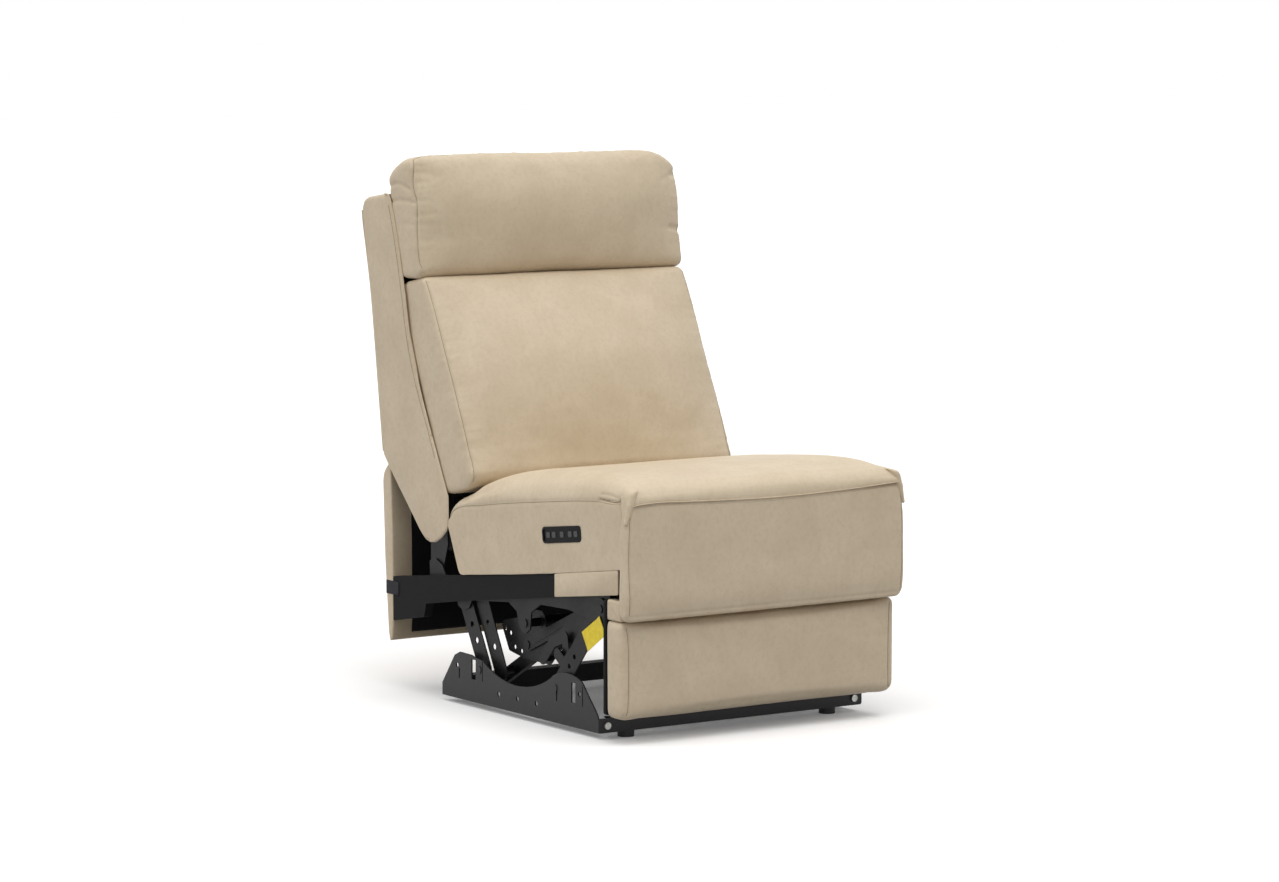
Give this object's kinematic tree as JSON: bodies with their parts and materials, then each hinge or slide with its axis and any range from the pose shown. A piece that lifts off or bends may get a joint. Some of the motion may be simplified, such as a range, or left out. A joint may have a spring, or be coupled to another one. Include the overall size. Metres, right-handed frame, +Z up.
{
  "type": "armless recliner",
  "caption": "Armless power recliner with padded seat, back and tilting headrest, a folding footrest and an open steel linkage on a low base.",
  "frame": {"origin": "centre of the overall box at floor level", "axes": "+Z up, -Y towards the front of the seat, +X to the sitter's left"},
  "size_m": [0.62, 0.9291, 1.038],
  "materials": {
    "leather": "satin",
    "black_steel": "satin",
    "zinc_steel": "satin",
    "plywood": "matte",
    "rail_cloth": "matte",
    "webbing": "matte",
    "glide_plastic": "matte",
    "motor_plastic": "satin",
    "bezel_plastic": "gloss",
    "button_plastic": "satin"
  },
  "bodies": {
    "base": {"base_rail_left": "black_steel", "base_rail_right": "black_steel", "front_cross_bar": "black_steel", "rear_cross_bar": "black_steel", "glide_feet": "glide_plastic", "cross_bar_bolts": "zinc_steel", "corner_brackets": "black_steel"},
    "front_swing": {"front_swing_links": "black_steel"},
    "rear_swing": {"rear_swing_links": "black_steel"},
    "seat": {"side_rail_left": "rail_cloth", "side_rail_right": "rail_cloth", "front_rail": "plywood", "rear_rail": "plywood", "seat_plates": "black_steel", "hangers": "black_steel", "brace_channels": "black_steel", "brace_tube": "black_steel", "seat_webbing": "webbing", "actuator_rail": "zinc_steel", "actuator_motor": "motor_plastic", "seat_cushion": "leather", "control_bezel": "bezel_plastic", "rail_facings": "leather", "rear_flap": "leather", "strap_tabs": "webbing"},
    "main_link": {"main_links": "black_steel"},
    "turning_link": {"turning_links": "black_steel"},
    "long_link": {"long_links": "black_steel"},
    "second_link": {"second_links": "black_steel"},
    "drive_link": {"drive_links": "black_steel"},
    "crank": {"crank_plates": "black_steel", "torque_tube": "black_steel"},
    "ottoman": {"ottoman_brackets": "black_steel", "ottoman_board": "plywood", "ottoman_pad": "leather", "ottoman_bridge": "leather"},
    "front_panel": {"upper_panel": "leather"},
    "back": {"back_post_left": "plywood", "back_post_right": "plywood", "back_lower_rail": "plywood", "back_upper_rail": "plywood", "back_top_rail": "plywood", "back_webbing": "webbing", "back_brackets": "zinc_steel", "back_panel": "leather", "side_panel_left": "leather", "side_panel_right": "leather", "back_cushion": "leather", "headrest_arms": "black_steel"},
    "headrest": {"headrest_cushion": "leather"},
    "key_back_down": {"button_back_down": "button_plastic"},
    "key_back_up": {"button_back_up": "button_plastic"},
    "key_home": {"button_home": "button_plastic"},
    "key_rest_out": {"button_rest_out": "button_plastic"},
    "key_rest_in": {"button_rest_in": "button_plastic"}
  },
  "joints": [
    {"name": "recline", "type": "hinge", "parent": "base", "child": "front_swing", "pos_m": [0, -0.1975, 0.075], "axis": [-1, 0, 0], "range_deg": [0, 12]},
    {"name": "seat_tilt", "type": "hinge", "parent": "front_swing", "child": "seat", "pos_m": [0, -0.3395, 0.238], "axis": [-1, 0, 0], "range_deg": [-6.2, 0]},
    {"name": "rear_swing_turn", "type": "hinge", "parent": "base", "child": "rear_swing", "pos_m": [0, 0.0645, 0.075], "axis": [-1, 0, 0], "range_deg": [0, 15.2]},
    {"name": "back_recline", "type": "hinge", "parent": "seat", "child": "back", "pos_m": [0, 0.2345, 0.246], "axis": [-1, 0, 0], "range_deg": [0, 30.1]},
    {"name": "footrest_open", "type": "hinge", "parent": "seat", "child": "main_link", "pos_m": [0, -0.3395, 0.238], "axis": [-1, 0, 0], "range_deg": [0, 118]},
    {"name": "second_link_turn", "type": "hinge", "parent": "seat", "child": "second_link", "pos_m": [0, -0.2545, 0.238], "axis": [-1, 0, 0], "range_deg": [0, 118.1]},
    {"name": "long_link_turn", "type": "hinge", "parent": "main_link", "child": "long_link", "pos_m": [0, -0.20995, 0.11887], "axis": [-1, 0, 0], "range_deg": [-118.1, 0]},
    {"name": "turning_link_turn", "type": "hinge", "parent": "main_link", "child": "turning_link", "pos_m": [0, -0.18537, 0.13547], "axis": [-1, 0, 0], "range_deg": [-123.8, 0]},
    {"name": "ottoman_turn", "type": "hinge", "parent": "long_link", "child": "ottoman", "pos_m": [0, -0.3645, 0.258], "axis": [-1, 0, 0], "range_deg": [0, 83.6]},
    {"name": "crank_turn", "type": "hinge", "parent": "seat", "child": "crank", "pos_m": [0, -0.0815, 0.181], "axis": [-1, 0, 0], "range_deg": [0, 70.6]},
    {"name": "drive_link_turn", "type": "hinge", "parent": "crank", "child": "drive_link", "pos_m": [0, -0.04582, 0.13377], "axis": [-1, 0, 0], "range_deg": [-66.7, 0]},
    {"name": "front_panel_swing", "type": "hinge", "parent": "seat", "child": "front_panel", "pos_m": [0, -0.4505, 0.433], "axis": [-1, 0, 0], "range_deg": [0, 79.2]},
    {"name": "headrest_tilt", "type": "hinge", "parent": "back", "child": "headrest", "pos_m": [0, 0.2805, 0.815], "axis": [1, 0, 0], "range_deg": [0, 30]},
    {"name": "press_back_down", "type": "slide", "parent": "seat", "child": "key_back_down", "axis": [1, 0, 0], "range_m": [0, 0.001], "stiffness_N_per_m": 400, "springref_m": -0.0005},
    {"name": "press_back_up", "type": "slide", "parent": "seat", "child": "key_back_up", "axis": [1, 0, 0], "range_m": [0, 0.001], "stiffness_N_per_m": 400, "springref_m": -0.0005},
    {"name": "press_home", "type": "slide", "parent": "seat", "child": "key_home", "axis": [1, 0, 0], "range_m": [0, 0.001], "stiffness_N_per_m": 400, "springref_m": -0.0005},
    {"name": "press_rest_out", "type": "slide", "parent": "seat", "child": "key_rest_out", "axis": [1, 0, 0], "range_m": [0, 0.001], "stiffness_N_per_m": 400, "springref_m": -0.0005},
    {"name": "press_rest_in", "type": "slide", "parent": "seat", "child": "key_rest_in", "axis": [1, 0, 0], "range_m": [0, 0.001], "stiffness_N_per_m": 400, "springref_m": -0.0005}
  ],
  "couplings": [
    {"joint": "seat_tilt", "follows": "recline", "ratio": -0.50641},
    {"joint": "rear_swing_turn", "follows": "recline", "ratio": 1.2561},
    {"joint": "back_recline", "follows": "recline", "ratio": 2.5},
    {"joint": "second_link_turn", "follows": "footrest_open", "ratio": 1},
    {"joint": "long_link_turn", "follows": "footrest_open", "ratio": -1},
    {"joint": "turning_link_turn", "follows": "footrest_open", "ratio": -1.0475},
    {"joint": "ottoman_turn", "follows": "footrest_open", "ratio": 0.70695},
    {"joint": "crank_turn", "follows": "footrest_open", "ratio": 0.59729},
    {"joint": "drive_link_turn", "follows": "footrest_open", "ratio": -0.56356},
    {"joint": "front_panel_swing", "follows": "footrest_open", "ratio": 0.66949}
  ]
}
